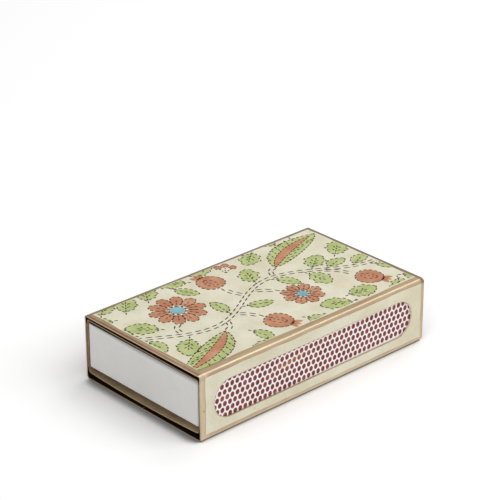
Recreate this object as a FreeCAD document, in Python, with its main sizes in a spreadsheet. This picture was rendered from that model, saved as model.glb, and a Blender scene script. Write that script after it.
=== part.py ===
import FreeCAD, Part

import math
import os

import Sketcher

# A long kitchen matchbox in a folded sheet-metal holder, dressed with paper.
# X runs along the box and its two open ends, Z is up, and the origin is under the middle of the base.
# The front is the long wall at -Y, and the matches have their heads at the -X end.

# Driving sizes in millimetres
SIZES = {
    # Sheet-metal holder, outside
    "holder_length": 115.0,
    "holder_width": 64.8,
    "holder_height": 26.7,
    "sheet_thickness": 0.6,
    "top_bend_radius": 1.6,
    "back_top_fold": 0.4,
    "front_base_bend_radius": 1.5,
    "back_base_bend_radius": 2.3,
    "seam_gap": 0.2,
    "window_end_margin": 6.6,
    "window_edge_margin": 5.7,
    # Paper panels
    "paper_thickness": 0.12,
    "paper_mouth_margin": 2.3,
    "paper_rear_margin": 1.5,
    "paper_bend_margin": 0.4,
    "top_paper_setback": 1.7,
    "paper_corner_radius": 0.8,
    "window_reveal": 0.3,
    # Matchbox sleeve and its striking strips
    "card_thickness": 0.4,
    "box_side_clearance": 0.15,
    "box_top_clearance": 0.8,
    "box_base_clearance": 2.4,
    "box_end_setback": 0.15,
    "sleeve_top_bend": 1.2,
    "sleeve_base_bend": 2.0,
    "sleeve_droop": 0.7,
    "sleeve_sag": 0.95,
    "flap_end_margin": 3.0,
    "striker_thickness": 0.08,
    # Tray
    "tray_board": 0.45,
    "tray_fold_radius": 0.8,
    "tray_side_clearance": 0.3,
    "tray_top_clearance": 0.3,
    "tray_seat_clearance": 1.65,
    "tray_end_setback": 0.25,
    "tab_length": 15.0,
    "tab_step": 1.6,
    # Matches
    "splint_side": 2.0,
    "head_width": 3.1,
    "head_length": 6.0,
    "head_socket": 4.4,
    "head_neck_coat": 0.05,
    "match_clearance": 0.2,
    "match_end_room": 13.0,
    "match_scatter": 3.0,
    "match_sway": 1.0,
    # Reach of the cuts past the faces that they open
    "cut_overrun": 0.5,
}

# Sizes and places that follow from the driving sizes, so that the pieces keep fitting each other
FITS = {
    "metal_base": "Sizes.paper_thickness",
    "metal_top": "metal_base + Sizes.holder_height",
    "floor_top": "metal_base + Sizes.sheet_thickness",
    "back_top_bend": "Sizes.sheet_thickness + Sizes.back_top_fold",
    "window_length": "Sizes.holder_length - 2 * Sizes.window_end_margin",
    "window_height": "Sizes.holder_height - 2 * Sizes.window_edge_margin",
    "window_middle": "metal_base + Sizes.holder_height / 2",
    "paper_left": "-Sizes.holder_length / 2 + Sizes.paper_mouth_margin",
    "paper_right": "Sizes.holder_length / 2 - Sizes.paper_rear_margin",
    "top_paper_half": "Sizes.holder_width / 2 - Sizes.top_bend_radius - Sizes.paper_bend_margin",
    "base_paper_half": "Sizes.holder_width / 2 - Sizes.back_base_bend_radius - Sizes.paper_bend_margin",
    "sleeve_length": "Sizes.holder_length - 2 * Sizes.box_end_setback",
    "sleeve_width": "Sizes.holder_width - 2 * (Sizes.sheet_thickness + Sizes.box_side_clearance"
                    " + Sizes.striker_thickness)",
    "sleeve_base": "floor_top + Sizes.box_base_clearance",
    "sleeve_top": "metal_top - Sizes.sheet_thickness - Sizes.box_top_clearance",
    "sleeve_front_top": "sleeve_top - Sizes.sleeve_droop",
    "sag_radius": "(sleeve_width ^ 2 / 4 + Sizes.sleeve_sag ^ 2) / (2 * Sizes.sleeve_sag)",
    "flat_side_low": "sleeve_base + Sizes.sleeve_base_bend",
    "flat_side_high": "sleeve_front_top - Sizes.sleeve_top_bend",
    "tray_length": "sleeve_length - 2 * Sizes.tray_end_setback",
    "tray_width": "sleeve_width - 3 * Sizes.card_thickness - 2 * Sizes.tray_side_clearance",
    "tray_middle": "Sizes.card_thickness / 2",
    "seat_reach": "Sizes.sleeve_base_bend - Sizes.card_thickness - Sizes.tray_fold_radius",
    "seat_rise": "seat_reach - sqrt(seat_reach ^ 2 - (seat_reach - Sizes.tray_side_clearance) ^ 2)",
    "tray_base": "sleeve_base + Sizes.card_thickness + seat_rise + Sizes.tray_seat_clearance",
    "tray_top": "sleeve_front_top - Sizes.card_thickness - Sizes.tray_top_clearance",
    "match_floor": "tray_base + Sizes.tray_board",
    "tray_inner_length": "tray_length - 4 * Sizes.tray_board",
    "tray_inner_width": "tray_width - 2 * Sizes.tray_board",
    "match_length": "tray_inner_length - Sizes.match_end_room",
    "splint_length": "match_length - Sizes.head_length + Sizes.head_socket",
}

# Matches: full layers from the tray floor up, then loose ones by their place across the tray and their turn
FULL_LAYERS = ("bottom", "middle", "upper")
LOOSE_ACROSS_SHARES = (-0.40, -0.25, -0.08, 0.09, 0.24, 0.39)
LOOSE_TURN_DEGREES = (1.2, -1.6, -3.2, 0.8, 2.4, -0.6)
SCATTER_SHARE = (math.sqrt(5) - 1) / 2
SWAY_SHARE = math.sqrt(2) - 1

doc = FreeCAD.newDocument("MatchboxHolder")


def make_sheets():
    """The driving sizes as plain numbers in one sheet, and what follows from them in another."""
    sizes = doc.addObject("Spreadsheet::Sheet", "Sizes")
    for row, (alias, value) in enumerate(SIZES.items(), start=1):
        sizes.set(f"A{row}", alias.replace("_", " "))
        sizes.set(f"B{row}", str(value))
        sizes.setAlias(f"B{row}", alias)
    fits = doc.addObject("Spreadsheet::Sheet", "Fits")
    for row, (alias, formula) in enumerate(FITS.items(), start=1):
        fits.set(f"A{row}", alias.replace("_", " "))
        fits.set(f"B{row}", "=" + formula)
        fits.setAlias(f"B{row}", alias)
    doc.recompute()
    return sizes, fits


sizes, fits = make_sheets()


# Sketch helpers

def new_body(label):
    body = doc.addObject("PartDesign::Body", label)
    body.Label = label
    return body


def sketch_on(body, role, name, offset=None):
    """A sketch on one of the body's own origin planes, moved along the plane's normal by a formula."""
    plane = next(f for f in body.Origin.OriginFeatures if f.Role == role)
    sketch = body.newObject("Sketcher::SketchObject", name)
    sketch.AttachmentSupport = [(plane, "")]
    sketch.MapMode = "FlatFace"
    if offset:
        sketch.setExpression("AttachmentOffset.Base.z", offset)
    return sketch


def value_of(sketch, formula):
    return float(sketch.evalExpression(formula))


def constrain(sketch, kind, geometry, point, formula):
    """Holds a point of the sketch at a formula's distance from the sketch's origin."""
    start = value_of(sketch, formula)
    number = sketch.addConstraint(Sketcher.Constraint(kind, -1, 1, geometry, point, start))
    sketch.setExpression(f"Constraints[{number}]", formula)


def add_chain(sketch, points):
    """Straight lines through the points and back to the first; returns the number of the first line."""
    first = sketch.GeometryCount
    count = len(points)
    for i in range(count):
        start = FreeCAD.Vector(*points[i], 0)
        end = FreeCAD.Vector(*points[(i + 1) % count], 0)
        sketch.addGeometry(Part.LineSegment(start, end), False)
    for i in range(count):
        sketch.addConstraint(Sketcher.Constraint("Coincident", first + i, 2, first + (i + 1) % count, 1))
    return first


def add_rectangle(sketch, left, right, low, high):
    x0, x1, y0, y1 = (value_of(sketch, side) for side in (left, right, low, high))
    bottom = add_chain(sketch, [(x0, y0), (x1, y0), (x1, y1), (x0, y1)])
    for line in (bottom, bottom + 2):
        sketch.addConstraint(Sketcher.Constraint("Horizontal", line))
    for line in (bottom + 1, bottom + 3):
        sketch.addConstraint(Sketcher.Constraint("Vertical", line))
    constrain(sketch, "DistanceX", bottom, 1, left)
    constrain(sketch, "DistanceX", bottom, 2, right)
    constrain(sketch, "DistanceY", bottom, 1, low)
    constrain(sketch, "DistanceY", bottom + 2, 1, high)


def add_window(sketch, length, height, middle):
    """A round-ended slot, centred along the sketch's X and at the middle height."""
    radius = value_of(sketch, height) / 2
    reach = value_of(sketch, length) / 2 - radius
    level = value_of(sketch, middle)
    normal = FreeCAD.Vector(0, 0, 1)
    lower = sketch.addGeometry(Part.LineSegment(
        FreeCAD.Vector(-reach, level - radius, 0), FreeCAD.Vector(reach, level - radius, 0)), False)
    right = sketch.addGeometry(Part.ArcOfCircle(
        Part.Circle(FreeCAD.Vector(reach, level, 0), normal, radius), -math.pi / 2, math.pi / 2), False)
    upper = sketch.addGeometry(Part.LineSegment(
        FreeCAD.Vector(reach, level + radius, 0), FreeCAD.Vector(-reach, level + radius, 0)), False)
    left = sketch.addGeometry(Part.ArcOfCircle(
        Part.Circle(FreeCAD.Vector(-reach, level, 0), normal, radius), math.pi / 2, 3 * math.pi / 2), False)
    for line, line_end, arc, arc_end in ((lower, 2, right, 1), (upper, 1, right, 2),
                                         (upper, 2, left, 1), (lower, 1, left, 2)):
        sketch.addConstraint(Sketcher.Constraint("Tangent", line, line_end, arc, arc_end))
    sketch.addConstraint(Sketcher.Constraint("Horizontal", lower))
    constrain(sketch, "DistanceX", right, 3, f"({length} - {height}) / 2")
    constrain(sketch, "DistanceX", left, 3, f"-({length} - {height}) / 2")
    constrain(sketch, "DistanceY", right, 3, middle)
    constrain(sketch, "DistanceY", lower, 1, f"{middle} - {height} / 2")


# Feature helpers

def pad(body, sketch, name, length, symmetric=False, turned=False):
    feature = body.newObject("PartDesign::Pad", name)
    feature.Profile = sketch
    feature.setExpression("Length", length)
    feature.Midplane = symmetric
    feature.Reversed = turned
    doc.recompute()
    return feature


def pocket(body, sketch, name, length, symmetric=False, turned=False):
    before = body.Shape.Volume
    feature = body.newObject("PartDesign::Pocket", name)
    feature.Profile = sketch
    feature.setExpression("Length", length)
    feature.Midplane = symmetric
    feature.Reversed = turned
    doc.recompute()
    if feature.Shape.Volume >= before:
        raise RuntimeError(f"{name} cuts nothing")
    return feature


def round_edges(body, base, name, radius, wanted):
    """Rounds the edges of the base feature that the test picks."""
    names = [f"Edge{i}" for i, edge in enumerate(base.Shape.Edges, start=1) if wanted(edge)]
    feature = body.newObject("PartDesign::Fillet", name)
    feature.Base = (base, names)
    feature.setExpression("Radius", radius)
    doc.recompute()
    return feature


def hollow(body, base, name, wall, opened):
    """Leaves a wall inside the base feature's skin, open at the faces that the test picks."""
    names = [f"Face{i}" for i, face in enumerate(base.Shape.Faces, start=1) if opened(face)]
    feature = body.newObject("PartDesign::Thickness", name)
    feature.Base = (base, names)
    feature.setExpression("Value", wall)
    feature.Reversed = True
    doc.recompute()
    return feature


def runs_along(edge, axis):
    direction = edge.Vertexes[-1].Point - edge.Vertexes[0].Point
    straight = edge.Curve.TypeId == "Part::GeomLine"
    return straight and abs(direction.normalize().dot(axis)) > math.cos(math.pi / 4)


def is_end(face):
    return abs(face.normalAt(0, 0).x) > math.cos(math.pi / 4)


ALONG_X = FreeCAD.Vector(1, 0, 0)
ALONG_Y = FreeCAD.Vector(0, 1, 0)
ALONG_Z = FreeCAD.Vector(0, 0, 1)


# Sheet-metal holder

def make_holder_shell():
    """One sheet folded round, with a striker window in each long wall and a butt seam below."""
    body = new_body("holder_shell")
    profile = sketch_on(body, "YZ_Plane", "shell_profile")
    add_rectangle(profile, "-Sizes.holder_width / 2", "Sizes.holder_width / 2",
                  "Fits.metal_base", "Fits.metal_top")
    block = pad(body, profile, "shell_block", "Sizes.holder_length", symmetric=True)
    middle = fits.window_middle
    front_bend = round_edges(body, block, "shell_front_top_bend", "Sizes.top_bend_radius",
                             lambda edge: runs_along(edge, ALONG_X) and edge.CenterOfMass.z > middle
                             and edge.CenterOfMass.y < 0)
    top_bends = round_edges(body, front_bend, "shell_back_top_bend", "Fits.back_top_bend",
                            lambda edge: runs_along(edge, ALONG_X) and edge.CenterOfMass.z > middle
                            and edge.CenterOfMass.y > sizes.holder_width / 2 - sizes.sheet_thickness)
    base_bends = round_edges(body, top_bends, "shell_front_base_bend", "Sizes.front_base_bend_radius",
                             lambda edge: runs_along(edge, ALONG_X) and edge.CenterOfMass.z < fits.floor_top
                             and edge.CenterOfMass.y < 0)
    bends = round_edges(body, base_bends, "shell_back_base_bend", "Sizes.back_base_bend_radius",
                        lambda edge: runs_along(edge, ALONG_X) and edge.CenterOfMass.z < fits.floor_top
                        and edge.CenterOfMass.y > sizes.holder_width / 2 - sizes.sheet_thickness)
    hollow(body, bends, "shell_sheet", "Sizes.sheet_thickness", is_end)
    window = sketch_on(body, "XZ_Plane", "shell_window")
    add_window(window, "Fits.window_length", "Fits.window_height", "Fits.window_middle")
    pocket(body, window, "shell_windows", "Sizes.holder_width + 2 * Sizes.cut_overrun", symmetric=True)
    seam = sketch_on(body, "XY_Plane", "shell_seam_line")
    add_rectangle(seam, "-Sizes.holder_length / 2 - Sizes.cut_overrun",
                  "Sizes.holder_length / 2 + Sizes.cut_overrun",
                  "-Sizes.seam_gap / 2", "Sizes.seam_gap / 2")
    pocket(body, seam, "shell_seam", "Fits.floor_top + Sizes.cut_overrun", turned=True)
    return body


# Paper panels

def make_flat_panel(label, front, back, level):
    """A paper sheet that lies flat, on the top face or under the base."""
    body = new_body(label)
    outline = sketch_on(body, "XY_Plane", label + "_outline", level)
    add_rectangle(outline, "Fits.paper_left", "Fits.paper_right", front, back)
    sheet = pad(body, outline, label + "_sheet", "Sizes.paper_thickness")
    round_edges(body, sheet, label + "_corners", "Sizes.paper_corner_radius",
                lambda edge: runs_along(edge, ALONG_Z))
    return body


def make_side_panel(label, offset, turned):
    """A paper sheet on a long wall, cut out round the striker window so that a rim of metal shows."""
    body = new_body(label)
    outline = sketch_on(body, "XZ_Plane", label + "_outline", offset)
    add_rectangle(outline, "Fits.paper_left", "Fits.paper_right",
                  "Fits.metal_base + Sizes.back_base_bend_radius", "Fits.metal_top - Sizes.top_bend_radius")
    add_window(outline, "(Fits.window_length + 2 * Sizes.window_reveal)",
               "(Fits.window_height + 2 * Sizes.window_reveal)", "Fits.window_middle")
    sheet = pad(body, outline, label + "_sheet", "Sizes.paper_thickness", turned=turned)
    round_edges(body, sheet, label + "_corners", "Sizes.paper_corner_radius",
                lambda edge: runs_along(edge, ALONG_Y) and abs(edge.CenterOfMass.x) > fits.window_length / 2)
    return body


def make_panels():
    top = make_flat_panel("top_panel", "-Fits.top_paper_half + Sizes.top_paper_setback",
                          "Fits.top_paper_half", "Fits.metal_top")
    base = make_flat_panel("base_panel", "-Fits.base_paper_half", "Fits.base_paper_half", None)
    front = make_side_panel("front_panel", "Sizes.holder_width / 2", False)
    back = make_side_panel("back_panel", "-Sizes.holder_width / 2", True)
    return [top, base, front, back]


# Matchbox sleeve

def make_sleeve():
    """A card wrap whose floor sags and whose top droops to the front, with a glue flap inside the front."""
    body = new_body("matchbox_sleeve")
    profile = sketch_on(body, "YZ_Plane", "sleeve_profile")
    half = fits.sleeve_width / 2
    low = fits.sleeve_base
    heights = ((half, low), (half, fits.sleeve_top), (-half, fits.sleeve_front_top), (-half, low))
    corners = [FreeCAD.Vector(y, z, 0) for y, z in heights]
    for start, end in zip(corners, corners[1:]):
        profile.addGeometry(Part.LineSegment(start, end), False)
    centre = FreeCAD.Vector(0, low - sizes.sleeve_sag + fits.sag_radius, 0)
    spread = math.asin(half / fits.sag_radius)
    circle = Part.Circle(centre, FreeCAD.Vector(0, 0, 1), fits.sag_radius)
    profile.addGeometry(Part.ArcOfCircle(circle, -math.pi / 2 - spread, -math.pi / 2 + spread), False)
    back, top, front, floor = range(4)
    for first, second in ((back, top), (top, front), (front, floor), (floor, back)):
        profile.addConstraint(Sketcher.Constraint("Coincident", first, 2, second, 1))
    for line in (back, front):
        profile.addConstraint(Sketcher.Constraint("Vertical", line))
    constrain(profile, "DistanceX", back, 1, "Fits.sleeve_width / 2")
    constrain(profile, "DistanceX", front, 2, "-Fits.sleeve_width / 2")
    constrain(profile, "DistanceY", back, 1, "Fits.sleeve_base")
    constrain(profile, "DistanceY", front, 2, "Fits.sleeve_base")
    constrain(profile, "DistanceY", top, 1, "Fits.sleeve_top")
    constrain(profile, "DistanceY", top, 2, "Fits.sleeve_front_top")
    number = profile.addConstraint(Sketcher.Constraint("Radius", floor, fits.sag_radius))
    profile.setExpression(f"Constraints[{number}]", "Fits.sag_radius")
    block = pad(body, profile, "sleeve_block", "Fits.sleeve_length", symmetric=True)
    middle = fits.window_middle
    top_bends = round_edges(body, block, "sleeve_top_bends", "Sizes.sleeve_top_bend",
                            lambda edge: runs_along(edge, ALONG_X) and edge.CenterOfMass.z > middle)
    bends = round_edges(body, top_bends, "sleeve_base_bends", "Sizes.sleeve_base_bend",
                        lambda edge: runs_along(edge, ALONG_X) and edge.CenterOfMass.z < fits.flat_side_low)
    hollow(body, bends, "sleeve_card", "Sizes.card_thickness", is_end)
    flap = sketch_on(body, "YZ_Plane", "sleeve_flap_section")
    add_rectangle(flap, "-Fits.sleeve_width / 2 + Sizes.card_thickness",
                  "-Fits.sleeve_width / 2 + 2 * Sizes.card_thickness",
                  "Fits.flat_side_low", "Fits.flat_side_high")
    pad(body, flap, "sleeve_flap", "Fits.sleeve_length - 2 * Sizes.flap_end_margin", symmetric=True)
    return body


def make_striker(label, offset, turned):
    """The striking strip over the flat height of one long side of the sleeve."""
    body = new_body(label)
    outline = sketch_on(body, "XZ_Plane", label + "_outline", offset)
    add_rectangle(outline, "-Fits.sleeve_length / 2", "Fits.sleeve_length / 2",
                  "Fits.flat_side_low", "Fits.flat_side_high")
    pad(body, outline, label + "_strip", "Sizes.striker_thickness", turned=turned)
    return body


# Tray

def make_tray():
    """A folded card tray whose side walls carry glued tabs behind each end wall."""
    body = new_body("tray")
    outline = sketch_on(body, "XY_Plane", "tray_outline", "Fits.tray_base")
    add_rectangle(outline, "-Fits.tray_length / 2", "Fits.tray_length / 2",
                  "Fits.tray_middle - Fits.tray_width / 2", "Fits.tray_middle + Fits.tray_width / 2")
    block = pad(body, outline, "tray_block", "Fits.tray_top - Fits.tray_base")
    folds = round_edges(body, block, "tray_folds", "Sizes.tray_fold_radius",
                        lambda edge: runs_along(edge, ALONG_Z) or edge.CenterOfMass.z < fits.match_floor)
    hollow(body, folds, "tray_walls", "Sizes.tray_board",
           lambda face: face.CenterOfMass.z > fits.tray_top - sizes.tray_board)
    tabs = sketch_on(body, "XY_Plane", "tray_tab_outlines", "Fits.match_floor")
    for end in ("-", ""):
        wall = f"{end}(Fits.tray_length / 2 - Sizes.tray_board)"
        inside = f"{end}(Fits.tray_length / 2 - 2 * Sizes.tray_board)"
        left, right = (wall, inside) if end else (inside, wall)
        for side in ("-", "+"):
            edge = f"Fits.tray_middle {side} Fits.tray_inner_width / 2"
            tip = f"Fits.tray_middle {side} (Fits.tray_inner_width / 2 - Sizes.tab_length)"
            low, high = (edge, tip) if side == "-" else (tip, edge)
            add_rectangle(tabs, left, right, low, high)
    pad(body, tabs, "tray_tabs", "Fits.tray_top - Fits.match_floor - Sizes.tab_step")
    return body


# Matches

def make_splint():
    """One square splint along -X, its tail at the origin."""
    body = new_body("one_splint")
    section = sketch_on(body, "YZ_Plane", "splint_section")
    add_rectangle(section, "-Sizes.splint_side / 2", "Sizes.splint_side / 2",
                  "-Sizes.splint_side / 2", "Sizes.splint_side / 2")
    pad(body, section, "splint_stick", "Fits.splint_length", turned=True)
    return body


def make_head():
    """The head that coats the splint's far end: a tapered bulb with a round tip and the splint's socket."""
    body = new_body("one_head")
    half_profile = sketch_on(body, "XZ_Plane", "head_half_profile")
    radius = sizes.head_width / 2
    tip = -fits.match_length
    neck = -(fits.splint_length - sizes.head_socket)
    neck_radius = sizes.splint_side / math.sqrt(2) + sizes.head_neck_coat
    centre = FreeCAD.Vector(tip + radius, 0, 0)
    points = [(tip, 0), (neck, 0), (neck, neck_radius), (tip + radius, radius)]
    for start, end in zip(points, points[1:]):
        half_profile.addGeometry(Part.LineSegment(FreeCAD.Vector(*start, 0), FreeCAD.Vector(*end, 0)), False)
    circle = Part.Circle(centre, FreeCAD.Vector(0, 0, 1), radius)
    half_profile.addGeometry(Part.ArcOfCircle(circle, math.pi / 2, math.pi), False)
    axis, back, flank, nose = range(4)
    for first, first_end, second, second_end in ((axis, 2, back, 1), (back, 2, flank, 1),
                                                 (flank, 2, nose, 1), (nose, 2, axis, 1)):
        half_profile.addConstraint(Sketcher.Constraint("Coincident", first, first_end, second, second_end))
    half_profile.addConstraint(Sketcher.Constraint("Vertical", back))
    constrain(half_profile, "DistanceX", axis, 1, "-Fits.match_length")
    constrain(half_profile, "DistanceY", axis, 1, "0")
    constrain(half_profile, "DistanceX", axis, 2, "-(Fits.splint_length - Sizes.head_socket)")
    constrain(half_profile, "DistanceY", axis, 2, "0")
    constrain(half_profile, "DistanceY", back, 2, "Sizes.splint_side / sqrt(2) + Sizes.head_neck_coat")
    constrain(half_profile, "DistanceX", flank, 2, "-Fits.match_length + Sizes.head_width / 2")
    constrain(half_profile, "DistanceY", flank, 2, "Sizes.head_width / 2")
    constrain(half_profile, "DistanceX", nose, 3, "-Fits.match_length + Sizes.head_width / 2")
    bulb = body.newObject("PartDesign::Revolution", "head_bulb")
    bulb.Profile = half_profile
    bulb.ReferenceAxis = (half_profile, ["H_Axis"])
    doc.recompute()
    socket = sketch_on(body, "YZ_Plane", "head_socket_section", "-(Fits.splint_length - Sizes.head_socket)")
    add_rectangle(socket, "-Sizes.splint_side / 2", "Sizes.splint_side / 2",
                  "-Sizes.splint_side / 2", "Sizes.splint_side / 2")
    pocket(body, socket, "head_socket_cut", "Sizes.head_socket")
    return body


def spread(number, share):
    """An even but unordered scatter between -1/2 and 1/2."""
    return (number * share) % 1 - 1 / 2


def match_place(layer, number, across, turn_degrees):
    """Where one match lies, turned about its head. Heads are thick, so layers rise towards them."""
    tail_rise = sizes.splint_side / 2 + layer * (sizes.splint_side + sizes.match_clearance)
    head_rise = sizes.head_width / 2 + layer * (sizes.head_width + sizes.match_clearance)
    slope = math.degrees(math.atan2(head_rise - tail_rise, fits.match_length - sizes.head_length))
    shift = spread(number, SCATTER_SHARE) * sizes.match_scatter
    head = FreeCAD.Vector(shift - fits.match_length / 2, fits.tray_middle + across,
                          fits.match_floor + sizes.match_clearance + tail_rise)
    tilt = FreeCAD.Rotation(ALONG_Y, slope)
    turn = FreeCAD.Rotation(ALONG_Z, turn_degrees)
    tail = head + turn.multVec(FreeCAD.Vector(fits.match_length, 0, 0))
    return FreeCAD.Placement(tail, turn.multiply(tilt))


def layer_places():
    """The name of each layer of matches with the places of its matches."""
    pitch_least = sizes.head_width + sizes.match_clearance
    room = fits.tray_inner_width - pitch_least
    count = int(room // pitch_least) + 1
    layers = {}
    number = 0
    for layer, name in enumerate(FULL_LAYERS):
        layers[name] = []
        for i in range(count):
            across = room * (i / (count - 1) - 1 / 2)
            sway = spread(number, SWAY_SHARE) * sizes.match_sway
            turn = math.degrees(math.atan2(sway, fits.match_length))
            layers[name].append(match_place(layer, number, across, turn))
            number += 1
    layers["loose"] = []
    for share, turn in zip(LOOSE_ACROSS_SHARES, LOOSE_TURN_DEGREES):
        across = share * fits.tray_inner_width
        layers["loose"].append(match_place(len(FULL_LAYERS), number, across, turn))
        number += 1
    return layers


def make_group(label, shape, places):
    """Separate copies of one piece as one node."""
    copies = []
    for place in places:
        copy = shape.copy()
        copy.Placement = place
        copies.append(copy)
    group = doc.addObject("Part::Feature", label)
    group.Label = label
    group.Shape = Part.makeCompound(copies)
    group.Placement = FreeCAD.Placement()
    return group


def make_matches():
    splint = make_splint().Shape
    head = make_head().Shape
    groups = []
    for name, places in layer_places().items():
        groups.append(make_group("splints_" + name, splint, places))
        groups.append(make_group("heads_" + name, head, places))
    return groups


# Assembly

def check(nodes):
    """Every object is up to date, and every sub-part has a sound shape."""
    doc.recompute()
    for item in doc.Objects:
        if {"Invalid", "Error"} & set(item.State):
            raise RuntimeError(f"{item.Label} failed: {item.State}")
    for node in nodes:
        if node.Shape.isNull() or not node.Shape.isValid():
            raise RuntimeError(f"{node.Label} has no sound shape")


nodes = [make_holder_shell()]
nodes += make_panels()
nodes.append(make_sleeve())
nodes.append(make_striker("front_striker", "Fits.sleeve_width / 2", False))
nodes.append(make_striker("back_striker", "-Fits.sleeve_width / 2", True))
nodes.append(make_tray())
nodes += make_matches()
check(nodes)

os.makedirs("parts", exist_ok=True)
for node in nodes:
    node.Shape.exportStep(f"parts/{node.Label}.step")
    box = node.Shape.BoundBox
    print(f"{node.Label}: {len(node.Shape.Solids)} solids, {node.Shape.Volume:.1f} mm3,"
          f" x {box.XMin:.2f} {box.XMax:.2f}, y {box.YMin:.2f} {box.YMax:.2f},"
          f" z {box.ZMin:.2f} {box.ZMax:.2f}")
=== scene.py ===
# %% [markdown]
# # A matchbox holder for long kitchen matches
# The real object is a flat sleeve of gold-coloured sheet metal, open at both ends and
# papered on its faces. A round-ended window in each long wall leaves the striking strip
# of the matchbox inside bare. The construction is loaded as a fixed frame, with every
# piece already in its place, so this lesson only dresses it: hand-cut paper, a block
# print, striking dots, finishes, light and a camera.

# %% Load the frame
import random
from math import atan, atan2, copysign, cos, dist, hypot, pi, radians, sin, tau

import bpy
from mathutils import Matrix, Vector, noise


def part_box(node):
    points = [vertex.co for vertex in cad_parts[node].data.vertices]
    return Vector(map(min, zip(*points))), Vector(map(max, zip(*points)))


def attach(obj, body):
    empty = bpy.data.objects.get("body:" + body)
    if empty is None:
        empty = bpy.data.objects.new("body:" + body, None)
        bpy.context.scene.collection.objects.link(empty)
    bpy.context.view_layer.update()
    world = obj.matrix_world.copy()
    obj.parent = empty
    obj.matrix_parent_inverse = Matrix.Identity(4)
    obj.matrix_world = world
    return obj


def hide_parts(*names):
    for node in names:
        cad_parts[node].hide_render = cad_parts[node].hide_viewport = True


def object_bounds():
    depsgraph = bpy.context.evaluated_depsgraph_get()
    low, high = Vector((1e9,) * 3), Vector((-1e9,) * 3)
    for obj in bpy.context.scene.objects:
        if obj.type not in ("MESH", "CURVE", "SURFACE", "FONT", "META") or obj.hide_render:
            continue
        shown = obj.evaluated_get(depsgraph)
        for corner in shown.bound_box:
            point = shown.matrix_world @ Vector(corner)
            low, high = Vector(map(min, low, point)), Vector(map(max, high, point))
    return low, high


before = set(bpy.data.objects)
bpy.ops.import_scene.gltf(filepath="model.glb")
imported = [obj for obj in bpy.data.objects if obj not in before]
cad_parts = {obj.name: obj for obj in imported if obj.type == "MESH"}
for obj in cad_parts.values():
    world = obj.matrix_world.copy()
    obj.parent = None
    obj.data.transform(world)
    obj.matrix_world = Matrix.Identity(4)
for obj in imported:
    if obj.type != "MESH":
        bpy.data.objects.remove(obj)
cad_low, cad_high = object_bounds()
MM = 0.001
print("frame", [round(side / MM, 2) for side in cad_high - cad_low], "mm")

# %% [markdown]
# ## The bench
# Operators act on whatever is selected, and the loaded frame comes in selected. Small
# helpers keep the bench tidy: they let go of everything, pick up a single piece, open
# its mesh, apply a modifier and join pieces up. One writes a piece's place into its
# mesh, so that its object stays at the origin as the frame's own objects do.


# %% Helpers for picking up and putting down
def clear_bench():
    """Leaves edit mode and lets go of everything."""
    if bpy.context.object and bpy.context.object.mode != "OBJECT":
        bpy.ops.object.mode_set(mode="OBJECT")
    bpy.ops.object.select_all(action="DESELECT")


def pick(piece):
    """Holds one piece, and nothing else."""
    clear_bench()
    piece.select_set(True)
    bpy.context.view_layer.objects.active = piece


def edit_all():
    """Opens the mesh of the held piece, with all of it selected."""
    bpy.ops.object.mode_set(mode="EDIT")
    bpy.ops.mesh.select_all(action="SELECT")


def settle(piece, place):
    """Moves a piece by a matrix and writes the move into its mesh."""
    pick(piece)
    piece.matrix_world = place
    bpy.ops.object.transform_apply()


def finish_with(piece, kind, **settings):
    """Adds one modifier, sets it and applies it."""
    pick(piece)
    modifier = piece.modifiers.new(kind.title(), kind)
    for name, value in settings.items():
        setattr(modifier, name, value)
    bpy.ops.object.modifier_apply(modifier=modifier.name)


def join_up(pieces, name):
    """Makes one object out of many."""
    pick(pieces[0])
    for piece in pieces:
        piece.select_set(True)
    if len(pieces) > 1:
        bpy.ops.object.join()
    joined = bpy.context.object
    joined.name = name
    return joined


clear_bench()
print("bench clear")

# %% [markdown]
# ## The camera
# The photograph looks down at one mouth and one long wall through a long lens. A camera
# could be aimed with a constraint, but three axes worked out from two angles place it
# exactly: right, up and back towards the viewer.

# %% Camera
FRAME_SIDE = 500
FOCAL_PIXELS = 2000
SENSOR = 36.0
AZIMUTH = radians(-42.765)
ELEVATION = radians(25.351)
HOLDER_LENGTH = cad_high.x - cad_low.x
CAMERA_DISTANCE = 6.6693 * HOLDER_LENGTH
AIM_RIGHT = -0.0247 * HOLDER_LENGTH
AIM_UP = 0.3629 * HOLDER_LENGTH


def towards(azimuth, elevation):
    """A unit vector from the object to a viewer or a lamp."""
    flat = cos(elevation)
    return Vector((sin(azimuth) * flat, -cos(azimuth) * flat, sin(elevation)))


back = towards(AZIMUTH, ELEVATION)
right = Vector((cos(AZIMUTH), sin(AZIMUTH), 0))
up = back.cross(right)
camera_data = bpy.data.cameras.new("camera")
camera_data.sensor_width = SENSOR
camera_data.lens = SENSOR * FOCAL_PIXELS / FRAME_SIDE
camera_data.clip_start = 0.01
camera = bpy.data.objects.new("camera", camera_data)
bpy.context.scene.collection.objects.link(camera)
turn = Matrix((right, up, back)).transposed().to_4x4()
turn.translation = right * AIM_RIGHT + up * AIM_UP + back * CAMERA_DISTANCE
camera.matrix_world = turn
bpy.context.scene.camera = camera
print("camera lens", camera_data.lens, "mm")

# %% [markdown]
# ## Building finishes from nodes
# Every finish below is a small web of nodes. Writing each link by hand is long, so these
# helpers add a node with its values, and plug either a number or another node's output
# into a socket. An output knows the tree that it belongs to, so a helper that is given
# one adds its node there. Colours are written as they are seen, from 0 to 255.


# %% Helpers for nodes
def seen(red, green, blue):
    """A colour as it is seen, turned into the linear one that shaders work with."""
    linear = []
    for level in (red, green, blue):
        share = level / 255
        linear.append(share / 12.92 if share <= 0.04045 else ((share + 0.055) / 1.055) ** 2.4)
    return (*linear, 1.0)


def plug(value, socket):
    """Links an output to a socket, or sets the socket to a value."""
    if isinstance(value, bpy.types.NodeSocket):
        socket.id_data.links.new(value, socket)
    else:
        socket.default_value = value


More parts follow.
